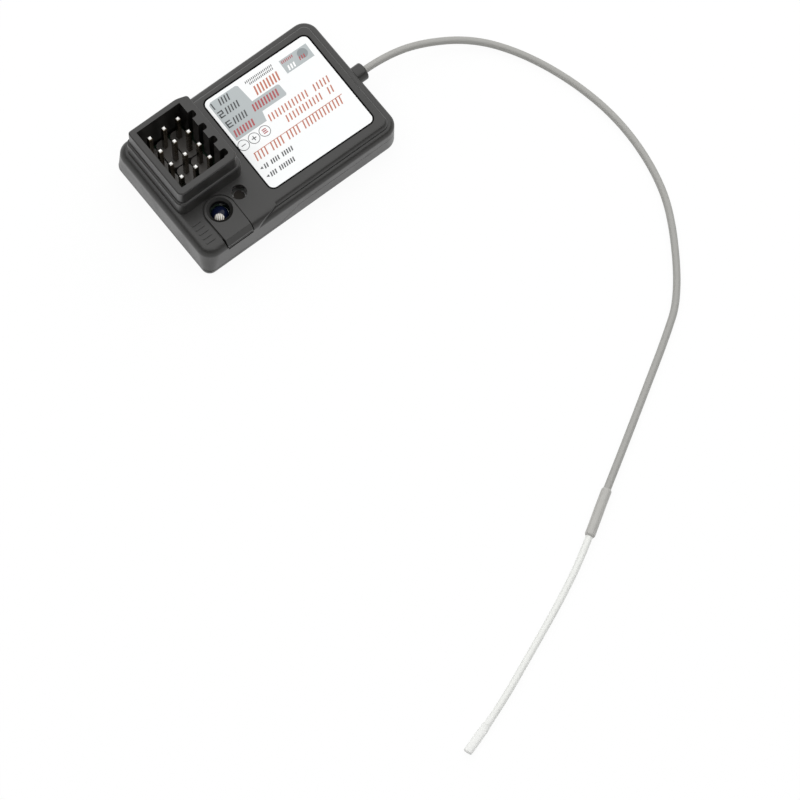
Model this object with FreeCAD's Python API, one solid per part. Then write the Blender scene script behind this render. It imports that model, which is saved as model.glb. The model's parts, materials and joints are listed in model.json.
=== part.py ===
"""Radio receiver with a connector tower and a cable aerial.

Millimetres. The origin is the centre of the housing's underside. +X runs along it to the cable gland,
+Y runs across it to the side of the first channel, and +Z is up, out of the connector tower.
"""

import FreeCAD
import Part
import math
import os

Vector = FreeCAD.Vector
UP = Vector(0, 0, 1)
CLOSE = 0.001

# Housing: outside sizes, walls and the line where its halves meet
HOUSING_LENGTH = 35.6
HOUSING_CORNER = 2.4
FOOT_CORNER = 1.3
INNER_CORNER = 0.3
DECK_HEIGHT = 6.6
DECK_ROUNDING = 0.8
END_ROUNDING = 1.4
LEDGE_HEIGHT = 5.5
LEDGE_WIDTH = 0.85
FAR_LEDGE_WIDTH = 1.2
LEDGE_ROUNDING = 1.0
LEDGE_START = 9.4
LEDGE_RUN_IN = 3.9
FOOT_CHAMFER = 0.35
WALL = 1.0
FLOOR = 1.0
ROOF = 1.0
PARTING_LOW = 1.0
PARTING_START = 13.2
PARTING_RUN = 3.6
PARTING_GAP = 0.08
LIP_WALL = 0.6
LIP_RISE = 0.9
LIP_GAP = 0.1

# Contact pins, their insulators and the well round them
PITCH = 2.54
CHANNELS = 4
WIRES = 3
PIN_WIDTH = 0.64
PIN_POINT = 0.2
PIN_RISE = 6.6
PIN_TAIL = 0.6
FIRST_PIN_INSET = 3.87
FIRST_ROW_INSET = 3.98
SERVICE_WIDTH = 10.9
BLOCK_HEIGHT = 2.54
BLOCK_ROWS = 2
BLOCK_GAP = 0.18
BLOCK_CORNER = 0.8
WELL_GAP = 0.08
WELL_KEY_ROOM = 0.62
TOWER_HEIGHT = 13.0
TOWER_WALL = 1.03
TOWER_OUTER_WALL = 0.84
TOWER_KEY_WALL = 1.66
TOWER_CORNER = 0.9
TOWER_TIGHT_CORNER = 0.5
TOWER_CUT_ALONG = 1.7
TOWER_CUT_ACROSS = 0.55
TOWER_CUT_ROUNDING = 3.0
TOWER_RIM_ROUNDING = 0.25
KEY_DEPTH = 0.9
KEY_WIDTH = 1.1
KEY_ROUNDING = 0.35
KEY_OFFSET = 1.2
PLINTH_WIDTH = 0.35
PLINTH_KEY_WIDTH = 0.65
PLINTH_HEIGHT = 9.8
PLINTH_ROUNDING = 0.3

# Lamp, its pad on the deck, and the set-up key
LAMP_INSET = 6.19
LAMP_SIDE_INSET = 5.05
LAMP_HOLE_RADIUS = 1.54
LAMP_RADIUS = 1.4
LAMP_FLANGE_RADIUS = 1.6
LAMP_FLANGE_HEIGHT = 0.8
LAMP_STANDOFF = 0.3
LAMP_SINK = 0.35
LEAD_WIDTH = 0.45
LEAD_SPACING = 1.27
LEAD_DEPTH = 0.6
RING_RADIUS = 2.35
RING_STEP_RADIUS = 1.95
RING_STEP = 0.25
PAD_WIDTH = 4.5
PAD_RISE = 0.3
PAD_ROUNDING = 0.1
PAD_FRONT_INSET = 0.06
PAD_FRONT_RUN = 0.6
PAD_FRONT_DROP = 1.1
PAD_GROOVE = 0.2
PAD_GROOVE_DEPTH = 0.2
PAD_FRONT_GROOVE_LENGTH = 1.3
PAD_FRONT_GROOVE_DEPTH = 1.2
BAR_COUNT = 5
BAR_LENGTH = 1.6
BAR_WIDTH = 0.32
BAR_RISE = 0.12
BAR_PITCH = 0.85
BAR_END_INSET = 1.5
BAR_SIDE_INSET = 2.1
SLOT_HEIGHT = 0.45
SLOT_DEPTH = 0.45
SLOT_TOP = 5.25
BUTTON_INSET = 10.18
BUTTON_SIDE_INSET = 5.68
BUTTON_HOLE_RADIUS = 1.18
BUTTON_RADIUS = 0.85
BUTTON_FLANGE_RADIUS = 1.1
BUTTON_FLANGE = 0.45
BUTTON_SINK = 1.4
BUTTON_TRAVEL = 0.25
KEY_CASE_SIZE = 4.0
KEY_CASE_FLOOR = 0.4
KEY_WELL_RADIUS = 1.35
KEY_COVER_THICKNESS = 0.15
DOME_RADIUS = 1.25
DOME_RISE = 0.35
DOME_THICKNESS = 0.08
TERMINAL_WIDTH = 0.6
TERMINAL_SPACING = 1.4
TERMINAL_REACH = 0.5
TERMINAL_THICKNESS = 0.15
DOME_GAP = 0.05
RUNNING_GAP = 0.05

# Label
LABEL_LENGTH = 18.8
LABEL_WIDTH = 17.3
LABEL_CORNER = 1.0
LABEL_THICKNESS = 0.12
LABEL_END_INSET = 11.94
LABEL_SIDE_SHIFT = 0.17
LABEL_TURN = -1.1
RECESS_DEPTH = 0.15
RECESS_GAP = 0.18

# Circuit board and what is soldered to it. A place is its distances from the board's cable end and long side.
BOARD_THICKNESS = 0.8
BOARD_CLEARANCE = 0.8
BOARD_GAP = 0.2
RAIL_WIDTH = 1.0
POST_RADIUS = 0.8
POST_INSET = 3.4
POST_GAP = 0.1
HOLE_GAP = 0.05
SOLDER_RADIUS = 0.72
SOLDER_HEIGHT = 0.45
SOLDER_PAD_LENGTH = 0.7
SOLDER_INSET = 0.6
RADIO_CHIP = (4.0, 4.0, 0.85)
RADIO_CHIP_PLACE = (7.2, 7.65)
CONTROLLER_CHIP = (5.0, 5.0, 0.9)
CONTROLLER_CHIP_PLACE = (14.2, 6.05)
CRYSTAL = (3.2, 2.5, 0.7)
CRYSTAL_PLACE = (7.4, 1.75)
REGULATOR = (4.5, 2.5, 1.5)
REGULATOR_PLACE = (18.2, 3.05)
BULK_CAPACITOR = (3.2, 1.6, 1.6)
BULK_CAPACITOR_PLACE = (18.4, 6.85)
SMALL_PART = (1.0, 0.5, 0.5)
SMALL_PART_PITCH = 1.3
CAPACITOR_COUNT = 6
CAPACITOR_PLACE = (12.6, 3.85)
RESISTOR_COUNT = 5
RESISTOR_PLACE = (10.4, 2.65)
COIL_COUNT = 3
COIL_PLACE = (4.6, 5.85)
CHIP_CORNER = 0.15

# Aerial cable
CABLE_DIAMETER = 1.13
CABLE_SIDE_SHIFT = -0.1
GLAND_LENGTH = 1.8
GLAND_WIDTH = 2.7
GLAND_ARCH_RISE = 0.15
GLAND_ROUNDING = 0.3
CABLE_GAP = 0.03
BRAID_DIAMETER = 0.9
BRAID_LENGTH = 1.2
BRAID_GAP = 0.05
CORE_DIAMETER = 0.4
CORE_LENGTH = 1.6
ELEMENT_DIAMETER = 1.05
SLEEVE_DIAMETER = 1.55
SLEEVE_LENGTH = 7.7
SLEEVE_START = 104.5
TIP_WIDTH = 1.35
TIP_THICKNESS = 0.8
TIP_LENGTH = 6.2
TIP_OVERLAP = 1.2
BEND_SHARE = 0.45

# The cable's way over the floor, point by point after the gland, chosen by eye
ROUTE = [
    (23.0, -0.1, 3.1),
    (28.9, -1.5, 2.85),
    (36.0, -5.1, 1.2),
    (40.7, -11.4, 0.59),
    (43.9, -20.1, 0.57),
    (45.2, -29.1, 0.57),
    (44.2, -38.2, 0.57),
    (41.5, -45.5, 0.57),
    (34.4, -55.7, 0.57),
    (28.5, -59.7, 0.57),
    (21.4, -64.0, 0.57),
    (13.7, -68.7, 0.67),
    (6.0, -73.3, 0.83),
    (-1.4, -78.0, 0.82),
    (-8.7, -81.6, 0.65),
    (-16.7, -85.0, 0.56),
    (-25.0, -88.5, 0.55),
    (-32.7, -90.9, 0.52),
]

# What follows from the sizes above
HALF_LENGTH = HOUSING_LENGTH / 2
HOUSING_WIDTH = FIRST_ROW_INSET + (CHANNELS - 1) * PITCH + SERVICE_WIDTH
HALF_WIDTH = HOUSING_WIDTH / 2
BOARD_BOTTOM = FLOOR + BOARD_CLEARANCE
BOARD_TOP = BOARD_BOTTOM + BOARD_THICKNESS
CABLE_Z = BOARD_TOP + BRAID_GAP + BRAID_DIAMETER / 2
PARTING_HEIGHT = CABLE_Z
LIP_INSET = WALL + LIP_GAP
CAVITY_INSET = LIP_INSET + LIP_WALL
LIP_TOP = PARTING_HEIGHT + LIP_RISE
CEILING = DECK_HEIGHT - ROOF
BOARD_INSET = CAVITY_INSET + BOARD_GAP
BOARD_END = HALF_LENGTH - BOARD_INSET
BOARD_SIDE = HALF_WIDTH - BOARD_INSET
PIN_X = -HALF_LENGTH + FIRST_PIN_INSET
PIN_Y = HALF_WIDTH - FIRST_ROW_INSET
BLOCK_TOP = BOARD_TOP + BLOCK_HEIGHT
PIN_LOW = BOARD_BOTTOM - PIN_TAIL
WELL_LOW = Vector(PIN_X - PITCH / 2 - WELL_GAP, PIN_Y - (CHANNELS - 0.5) * PITCH - WELL_KEY_ROOM, 0)
WELL_HIGH = Vector(PIN_X + (WIRES - 0.5) * PITCH + WELL_GAP, PIN_Y + PITCH / 2 + WELL_GAP, 0)
TOWER_LOW = WELL_LOW - Vector(TOWER_WALL, TOWER_WALL, 0)
TOWER_HIGH = WELL_HIGH + Vector(TOWER_KEY_WALL, TOWER_OUTER_WALL, 0)
LAMP_X = -HALF_LENGTH + LAMP_INSET
LAMP_Y = -HALF_WIDTH + LAMP_SIDE_INSET
BUTTON_X = -HALF_LENGTH + BUTTON_INSET
BUTTON_Y = -HALF_WIDTH + BUTTON_SIDE_INSET
KEY_FLOOR = BOARD_TOP + KEY_CASE_FLOOR
FLANGE_LOW = KEY_FLOOR + DOME_RISE + DOME_GAP + BUTTON_TRAVEL
KEY_TOP = FLANGE_LOW + BUTTON_FLANGE + RUNNING_GAP
GLAND_END = HALF_LENGTH + GLAND_LENGTH
JACKET_END = BOARD_END + BOARD_GAP / 2
BRAID_END = JACKET_END - BRAID_LENGTH


def rounded_box(low, high, radius):
    """A box between two corners whose upright edges are rounded."""
    size = high - low
    box = Part.makeBox(size.x, size.y, size.z, low)
    upright = [e for e in box.Edges if e.BoundBox.ZLength > size.z / 2]
    return box.makeFillet(radius, upright)


def plan_block(inset, low, high):
    """The housing's rounded plan, drawn in by an inset, between two heights."""
    corner = Vector(HALF_LENGTH - inset, HALF_WIDTH - inset, 0)
    radius = max(HOUSING_CORNER - inset, INNER_CORNER)
    return rounded_box(UP * low - corner, UP * high + corner, radius)


def edges_at(shape, height):
    """The edges that lie flat at one height."""
    return [e for e in shape.Edges
            if abs(e.BoundBox.ZMin - height) < CLOSE and abs(e.BoundBox.ZMax - height) < CLOSE]


def prism(points, low, high):
    """An upright prism over a closed outline of (x, y) points."""
    outline = Part.makePolygon([Vector(x, y, low) for x, y in points + points[:1]])
    return Part.Face(outline).extrude(UP * (high - low))


def rod(radius, start, end):
    """A round rod between two points."""
    way = end - start
    return Part.makeCylinder(radius, way.Length, start, way)


def parting_block():
    """Everything below the line where the halves meet, which is low at the tower and rises to the cable."""
    far = HOUSING_LENGTH
    start = -HALF_LENGTH + PARTING_START
    end = start + PARTING_RUN
    profile = [(-far, -far), (-far, PARTING_LOW), (start, PARTING_LOW), (end, PARTING_HEIGHT),
               (far, PARTING_HEIGHT), (far, -far)]
    outline = Part.makePolygon([Vector(x, -far, z) for x, z in profile + profile[:1]])
    return Part.Face(outline).extrude(Vector(0, 2 * far, 0))


def gland_block():
    """The arched gland that holds the cable, rounded at its outer end."""
    half = GLAND_WIDTH / 2
    top = CABLE_Z + GLAND_ARCH_RISE
    start = HALF_LENGTH - WALL
    left = Vector(start, CABLE_SIDE_SHIFT - half, 0)
    right = Vector(start, CABLE_SIDE_SHIFT + half, 0)
    middle = Vector(start, CABLE_SIDE_SHIFT, 0)
    outline = Part.Wire([
        Part.Arc(left + UP * top, middle + UP * (top + half), right + UP * top).toShape(),
        Part.LineSegment(right + UP * top, right + UP * CABLE_Z).toShape(),
        Part.Arc(right + UP * CABLE_Z, middle + UP * (CABLE_Z - half), left + UP * CABLE_Z).toShape(),
        Part.LineSegment(left + UP * CABLE_Z, left + UP * top).toShape(),
    ])
    block = Part.Face(outline).extrude(Vector(GLAND_END - start, 0, 0))
    outer = [e for e in block.Edges if e.BoundBox.XMin > GLAND_END - CLOSE]
    return block.makeFillet(GLAND_ROUNDING, outer)


def cable_hole():
    """The round hole through the gland, the wall and the lip that holds the cable."""
    start = Vector(HALF_LENGTH - BOARD_INSET - WALL, CABLE_SIDE_SHIFT, CABLE_Z)
    return rod(CABLE_DIAMETER / 2 + CABLE_GAP, start, Vector(GLAND_END + WALL, start.y, start.z))


def foot_block():
    """The lower half's plan, whose corners are sharper at the tower's end than at the cable's."""
    corner = Vector(HALF_LENGTH, HALF_WIDTH, 0)
    block = Part.makeBox(HOUSING_LENGTH, HOUSING_WIDTH, LIP_TOP, -corner)
    upright = [e for e in block.Edges if e.BoundBox.ZLength > LIP_TOP / 2]
    block = block.makeFillet(HOUSING_CORNER, [e for e in upright if e.BoundBox.XMin > 0])
    upright = [e for e in block.Edges if e.BoundBox.ZLength > LIP_TOP / 2]
    return block.makeFillet(FOOT_CORNER, [e for e in upright if e.BoundBox.XMax < CLOSE - HALF_LENGTH])


def lower_cover():
    """The tray that closes the housing from below, with a lip round its inside and rails for the board."""
    slab = foot_block()
    slab = slab.makeChamfer(FOOT_CHAMFER, edges_at(slab, 0))
    tray = slab.fuse(gland_block()).common(parting_block())
    tray = tray.fuse(plan_block(LIP_INSET, FLOOR / 2, LIP_TOP))
    tray = tray.cut(plan_block(CAVITY_INSET, FLOOR, LIP_TOP + WALL)).cut(cable_hole())
    end = HALF_LENGTH - CAVITY_INSET
    side = HALF_WIDTH - CAVITY_INSET - HOUSING_CORNER
    for low in (-end - LIP_WALL / 2, end - RAIL_WIDTH):
        size = Vector(RAIL_WIDTH + LIP_WALL / 2, 2 * side, BOARD_BOTTOM - FLOOR / 2)
        tray = tray.fuse(Part.makeBox(size.x, size.y, size.z, Vector(low, -side, FLOOR / 2)))
    return tray.removeSplitter()


def shell_outside():
    """The upper half's outer form: a skirt, a deck set in above its ledge, and a full-width tower end."""
    skirt = plan_block(0, 0, LEDGE_HEIGHT)
    skirt = skirt.makeFillet(LEDGE_ROUNDING, edges_at(skirt, LEDGE_HEIGHT))
    inner = Vector(HALF_LENGTH - FAR_LEDGE_WIDTH, HALF_WIDTH - FAR_LEDGE_WIDTH, DECK_HEIGHT)
    start = Vector(-HALF_LENGTH + LEDGE_START / 2, LEDGE_WIDTH - HALF_WIDTH, 0)
    deck = rounded_box(start, inner, HOUSING_CORNER - FAR_LEDGE_WIDTH)
    deck = deck.makeFillet(DECK_ROUNDING, edges_at(deck, DECK_HEIGHT))
    return skirt.fuse(deck).fuse(tower_end())


def tower_end():
    """The full-width end of the deck, rounded on three sides, which runs in to the ledge on a slant.

    Its upright corners are wider at the deck than at the foot.
    """
    start = -HALF_LENGTH + LEDGE_START
    end = start + LEDGE_RUN_IN
    points = [(-HALF_LENGTH, -HALF_WIDTH), (start, -HALF_WIDTH), (end, LEDGE_WIDTH - HALF_WIDTH),
              (end, HALF_WIDTH - FAR_LEDGE_WIDTH), (start, HALF_WIDTH), (-HALF_LENGTH, HALF_WIDTH)]
    block = prism(points, 0, DECK_HEIGHT)
    corners = [e for e in block.Edges
               if e.BoundBox.XMax < -HALF_LENGTH + CLOSE and e.BoundBox.ZLength > DECK_HEIGHT / 2]
    block = block.makeFillet(FOOT_CORNER, HOUSING_CORNER, corners)
    rim = [e for e in edges_at(block, DECK_HEIGHT) if e.BoundBox.XMax < start + CLOSE]
    return block.makeFillet(END_ROUNDING, rim)


def tower_block(step, key_step, top):
    """The tower's plan, grown by a step and by its own step on the key side, up to a height.

    Its corner between the key side and the outer side is cut off on a slant, and every corner is rounded.
    """
    low = TOWER_LOW - Vector(step, step, 0)
    high = TOWER_HIGH + Vector(key_step, step, 0)
    corners = {
        (low.x, low.y): TOWER_CORNER + step,
        (high.x, low.y): TOWER_CORNER + step,
        (high.x, high.y - TOWER_CUT_ACROSS): TOWER_TIGHT_CORNER,
        (high.x - TOWER_CUT_ALONG, high.y): TOWER_CUT_ROUNDING,
        (low.x, high.y): TOWER_TIGHT_CORNER + step,
    }
    block = prism(list(corners), LEDGE_HEIGHT - WALL / 2, top)
    for (x, y), radius in corners.items():
        upright = [e for e in block.Edges if e.BoundBox.ZLength > WALL
                   and math.hypot(e.CenterOfMass.x - x, e.CenterOfMass.y - y) < CLOSE]
        block = block.makeFillet(radius, upright)
    return block


def tower_outside():
    """The connector tower on its stepped plinth."""
    plinth = tower_block(PLINTH_WIDTH, PLINTH_KEY_WIDTH, PLINTH_HEIGHT)
    plinth = plinth.makeFillet(PLINTH_ROUNDING, edges_at(plinth, PLINTH_HEIGHT))
    tower = tower_block(0, 0, TOWER_HEIGHT)
    tower = tower.makeFillet(TOWER_RIM_ROUNDING, edges_at(tower, TOWER_HEIGHT))
    return plinth.fuse(tower)


def well_cut():
    """The plug well with one key slot for each row of pins."""
    low = CEILING - WALL
    well = Part.makeBox(WELL_HIGH.x - WELL_LOW.x, WELL_HIGH.y - WELL_LOW.y, TOWER_HEIGHT,
                        WELL_LOW + UP * low)
    for row in range(CHANNELS):
        side = PIN_Y - row * PITCH - KEY_OFFSET - KEY_WIDTH / 2
        corner = Vector(WELL_HIGH.x - WALL, side, low)
        slot = Part.makeBox(KEY_DEPTH + WALL, KEY_WIDTH, TOWER_HEIGHT, corner)
        outer = [e for e in slot.Edges if e.BoundBox.XMin > WELL_HIGH.x and e.BoundBox.ZLength > WALL]
        well = well.fuse(slot.makeFillet(KEY_ROUNDING, outer))
    return well


def pad_block(gap, low):
    """The plan of the tongue and the ring round the lamp hole, grown by a gap, up to the pad's top."""
    front = -HALF_WIDTH + PAD_FRONT_INSET
    top = DECK_HEIGHT + PAD_RISE
    half = PAD_WIDTH / 2 + gap
    ring = RING_RADIUS + gap
    points = [(LAMP_X - half, front), (LAMP_X + half, front), (LAMP_X + ring, LAMP_Y),
              (LAMP_X - ring, LAMP_Y)]
    block = prism(points, low, top).fuse(Part.makeCylinder(ring, top - low, Vector(LAMP_X, LAMP_Y, low)))
    return block.removeSplitter()


def pad_grooves():
    """The narrow groove round the pad, and its deeper part on both sides of the pad's front."""
    width = PAD_WIDTH + 2 * PAD_GROOVE
    front = Vector(LAMP_X - width / 2, -HALF_WIDTH - WALL, DECK_HEIGHT - PAD_FRONT_GROOVE_DEPTH)
    deeper = Part.makeBox(width, PAD_FRONT_GROOVE_LENGTH + WALL, 2 * PAD_FRONT_GROOVE_DEPTH, front)
    return pad_block(PAD_GROOVE, DECK_HEIGHT - PAD_GROOVE_DEPTH).fuse(deeper)


def lamp_pad():
    """The raised tongue that runs from the stepped ring round the lamp hole to its slanted front."""
    pad = pad_block(0, PARTING_HEIGHT)
    top = DECK_HEIGHT + PAD_RISE
    front = -HALF_WIDTH + PAD_FRONT_INSET
    slant = [(front - WALL, top - PAD_FRONT_DROP), (front, top - PAD_FRONT_DROP),
             (front + PAD_FRONT_RUN, top), (front + PAD_FRONT_RUN, top + WALL), (front - WALL, top + WALL)]
    outline = Part.makePolygon([Vector(LAMP_X - PAD_WIDTH, y, z) for y, z in slant + slant[:1]])
    pad = pad.cut(Part.Face(outline).extrude(Vector(2 * PAD_WIDTH, 0, 0)))
    pad = pad.makeFillet(PAD_ROUNDING, edges_at(pad, top))
    step = Part.makeCylinder(RING_STEP_RADIUS, 2 * RING_STEP, Vector(LAMP_X, LAMP_Y, top - RING_STEP))
    return pad.cut(step)


def raised_bars():
    """A row of short raised bars with round ends between the lamp's pad and the tower's end."""
    bars = []
    for step in range(BAR_COUNT):
        side = -HALF_WIDTH + BAR_SIDE_INSET + step * BAR_PITCH
        low = Vector(-HALF_LENGTH + BAR_END_INSET, side - BAR_WIDTH / 2, CEILING + ROOF / 2)
        high = Vector(low.x + BAR_LENGTH, side + BAR_WIDTH / 2, DECK_HEIGHT + BAR_RISE)
        bars.append(rounded_box(low, high, BAR_WIDTH / 2 - CLOSE))
    return bars


def label_block(gap, low, high):
    """The label's rounded outline, grown by a gap and turned as it lies on the deck."""
    half = Vector(LABEL_LENGTH / 2 + gap, LABEL_WIDTH / 2 + gap, 0)
    block = rounded_box(UP * low - half, UP * high + half, LABEL_CORNER + gap)
    block.rotate(Vector(), UP, LABEL_TURN)
    block.translate(Vector(HALF_LENGTH - LABEL_END_INSET, LABEL_SIDE_SHIFT, 0))
    return block


def upper_shell():
    """The upper half of the housing in one moulding, down to where it meets the lower half."""
    shell = shell_outside().cut(pad_grooves())
    shell = shell.fuse([tower_outside(), lamp_pad(), gland_block()] + raised_bars())
    below = parting_block()
    below.translate(UP * PARTING_GAP)
    shell = shell.cut(below)
    shell = shell.cut(plan_block(WALL, -WALL, LIP_TOP + LIP_GAP))
    shell = shell.cut(plan_block(CAVITY_INSET, -WALL, CEILING))
    post = Vector(HALF_LENGTH - POST_INSET, HALF_WIDTH - POST_INSET, BOARD_TOP + POST_GAP)
    for side in (-post.y, post.y):
        height = CEILING + ROOF / 2 - post.z
        shell = shell.fuse(Part.makeCylinder(POST_RADIUS, height, Vector(post.x, side, post.z)))
    shell = shell.cut(well_cut()).cut(cable_hole())
    for radius, x, y in ((LAMP_HOLE_RADIUS, LAMP_X, LAMP_Y), (BUTTON_HOLE_RADIUS, BUTTON_X, BUTTON_Y)):
        shell = shell.cut(Part.makeCylinder(radius, 2 * ROOF, Vector(x, y, CEILING - ROOF / 2)))
    slot = Part.makeBox(PAD_WIDTH, SLOT_DEPTH + WALL, SLOT_HEIGHT,
                        Vector(LAMP_X - PAD_WIDTH / 2, -HALF_WIDTH - WALL, SLOT_TOP - SLOT_HEIGHT))
    recess = label_block(RECESS_GAP, DECK_HEIGHT - RECESS_DEPTH, DECK_HEIGHT + WALL)
    return shell.cut(slot).cut(recess).removeSplitter()


def label_sticker():
    """The printed label, flat in its recess."""
    low = DECK_HEIGHT - RECESS_DEPTH
    return label_block(0, low, low + LABEL_THICKNESS)


def pin_place(row, wire):
    """Where a pin stands on the board, by its row across the housing and its wire along it."""
    return Vector(PIN_X + wire * PITCH, PIN_Y - row * PITCH, 0)


def square_rod(width, place, low, high):
    """An upright square rod centred on a place."""
    half = Vector(width / 2, width / 2, 0)
    return Part.makeBox(width, width, high - low, place - half + UP * low)


def contact_pin(row, wire):
    """One square pin, from its tail under the board to its pointed tip in the well."""
    top = BLOCK_TOP + PIN_RISE
    pin = square_rod(PIN_WIDTH, pin_place(row, wire), PIN_LOW, top)
    return pin.makeChamfer(PIN_POINT, edges_at(pin, top) + edges_at(pin, PIN_LOW))


def header_block(wire, pair):
    """The insulator of two pins of one wire: a block with well rounded upright corners."""
    first = pin_place(pair * BLOCK_ROWS, wire)
    last = pin_place(pair * BLOCK_ROWS + BLOCK_ROWS - 1, wire)
    half = Vector(PITCH - BLOCK_GAP, PITCH - BLOCK_GAP, 0) / 2
    block = rounded_box(last - half + UP * BOARD_TOP, first + half + UP * BLOCK_TOP, BLOCK_CORNER)
    for place in (first, last):
        block = block.cut(square_rod(PIN_WIDTH, place, PIN_LOW, TOWER_HEIGHT))
    return block


def lead_places():
    """Where the lamp's two leads stand."""
    return [Vector(LAMP_X - LEAD_SPACING, LAMP_Y, 0), Vector(LAMP_X + LEAD_SPACING, LAMP_Y, 0)]


def led_leads():
    """The lamp's two square leads, from inside its flange to below the board."""
    top = BOARD_TOP + LAMP_STANDOFF + LEAD_DEPTH
    return Part.makeCompound([square_rod(LEAD_WIDTH, place, PIN_LOW, top) for place in lead_places()])


def led_lamp():
    """The lamp: a flange, a round body and a dome that looks out of the deck."""
    base = Vector(LAMP_X, LAMP_Y, BOARD_TOP + LAMP_STANDOFF)
    waist = DECK_HEIGHT - LAMP_SINK - LAMP_RADIUS
    flange = Part.makeCylinder(LAMP_FLANGE_RADIUS, LAMP_FLANGE_HEIGHT, base)
    body = Part.makeCylinder(LAMP_RADIUS, waist - base.z, base)
    dome = Part.makeSphere(LAMP_RADIUS, Vector(LAMP_X, LAMP_Y, waist), UP, 0, 90, 360)
    return flange.fuse(body).fuse(dome).removeSplitter().cut(led_leads())


def circuit_board():
    """The board, with a round hole for each pin and lead."""
    board = plan_block(BOARD_INSET, BOARD_BOTTOM, BOARD_TOP)
    holes = [(pin_place(row, wire), PIN_WIDTH) for row in range(CHANNELS) for wire in range(WIRES)]
    holes += [(place, LEAD_WIDTH) for place in lead_places()]
    for place, width in holes:
        radius = width / math.sqrt(2) + HOLE_GAP
        low = place + UP * (BOARD_BOTTOM - HOLE_GAP)
        board = board.cut(Part.makeCylinder(radius, 2 * BOARD_THICKNESS, low))
    return board


def solder_joints():
    """A cone of solder under the board round each pin and lead."""
    cones = []
    places = [(pin_place(row, wire), PIN_WIDTH) for row in range(CHANNELS) for wire in range(WIRES)]
    places += [(place, LEAD_WIDTH) for place in lead_places()]
    for place, width in places:
        tip = width / math.sqrt(2) + HOLE_GAP / 2
        cone = Part.makeCone(tip, SOLDER_RADIUS, SOLDER_HEIGHT, place + UP * (BOARD_BOTTOM - SOLDER_HEIGHT))
        cones.append(cone.cut(square_rod(width, place, PIN_LOW, BOARD_TOP)))
    return Part.makeCompound(cones)


def key_case():
    """The set-up key's plastic case, open at the top for the button's flange."""
    half = KEY_CASE_SIZE / 2
    case = Part.makeBox(KEY_CASE_SIZE, KEY_CASE_SIZE, KEY_TOP - BOARD_TOP,
                        Vector(BUTTON_X - half, BUTTON_Y - half, BOARD_TOP))
    return case.cut(Part.makeCylinder(KEY_WELL_RADIUS, KEY_TOP, Vector(BUTTON_X, BUTTON_Y, KEY_FLOOR)))


def key_cover():
    """The metal plate on the key's case, with a hole for the button."""
    half = KEY_CASE_SIZE / 2
    plate = Part.makeBox(KEY_CASE_SIZE, KEY_CASE_SIZE, KEY_COVER_THICKNESS,
                         Vector(BUTTON_X - half, BUTTON_Y - half, KEY_TOP))
    low = Vector(BUTTON_X, BUTTON_Y, KEY_TOP - RUNNING_GAP)
    return plate.cut(Part.makeCylinder(BUTTON_RADIUS + RUNNING_GAP, 2 * KEY_COVER_THICKNESS, low))


def key_plunger():
    """The button: a round stem with a flange that the cover holds in."""
    foot = Vector(BUTTON_X, BUTTON_Y, FLANGE_LOW)
    stem = Part.makeCylinder(BUTTON_RADIUS, DECK_HEIGHT - BUTTON_SINK - FLANGE_LOW, foot)
    return stem.fuse(Part.makeCylinder(BUTTON_FLANGE_RADIUS, BUTTON_FLANGE, foot))


def key_dome():
    """The thin snap dome under the button."""
    radius = (DOME_RADIUS ** 2 + DOME_RISE ** 2) / (2 * DOME_RISE)
    centre = Vector(BUTTON_X, BUTTON_Y, KEY_FLOOR + DOME_RISE - radius)
    cap = Part.makeSphere(radius, centre).cut(Part.makeSphere(radius - DOME_THICKNESS, centre))
    return cap.common(Part.makeCylinder(DOME_RADIUS, DOME_RISE, Vector(BUTTON_X, BUTTON_Y, KEY_FLOOR)))


def key_terminals():
    """The key's four flat terminals, on the board at both ends of its case."""
    plates = []
    for end in (-1, 1):
        edge = BUTTON_X + end * KEY_CASE_SIZE / 2
        x = edge if end > 0 else edge - TERMINAL_REACH
        for side in (-TERMINAL_SPACING, TERMINAL_SPACING):
            corner = Vector(x, BUTTON_Y + side - TERMINAL_WIDTH / 2, BOARD_TOP)
            plates.append(Part.makeBox(TERMINAL_REACH, TERMINAL_WIDTH, TERMINAL_THICKNESS, corner))
    return Part.makeCompound(plates)


def board_part(size, place, side):
    """A moulded part with rounded corners, flat on the board, placed from one of its long sides."""
    half = Vector(size[0] / 2, size[1] / 2, 0)
    middle = Vector(BOARD_END - place[0], side * (BOARD_SIDE - place[1]), BOARD_TOP)
    return rounded_box(middle - half, middle + half + UP * size[2], CHIP_CORNER)


def part_row(count, place, side):
    """A row of small parts that starts at a place and runs towards the board's cable end."""
    starts = [(place[0] - step * SMALL_PART_PITCH, place[1]) for step in range(count)]
    return Part.makeCompound([board_part(SMALL_PART, start, side) for start in starts])


def straight_cable(diameter, start, end):
    """A straight stretch of cable on the gland's axis between two places along the housing."""
    axis = Vector(0, CABLE_SIDE_SHIFT, CABLE_Z)
    along = Vector(1, 0, 0)
    return rod(diameter / 2, axis + along * start, axis + along * end)


def aerial_solder():
    """Two pads of solder that join the cable's screen and core to the board."""
    wires = straight_cable(BRAID_DIAMETER, BRAID_END, JACKET_END)
    wires = wires.fuse(straight_cable(CORE_DIAMETER, BRAID_END - CORE_LENGTH, BRAID_END))
    pads = []
    for start in (JACKET_END - SOLDER_INSET, BRAID_END - CORE_LENGTH + SOLDER_INSET):
        low = Vector(start - SOLDER_PAD_LENGTH / 2, CABLE_SIDE_SHIFT - BRAID_DIAMETER / 2, BOARD_TOP)
        pad = Part.makeBox(SOLDER_PAD_LENGTH, BRAID_DIAMETER, CABLE_Z - BOARD_TOP, low)
        pads.append(pad.cut(wires))
    return Part.makeCompound(pads)


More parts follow.
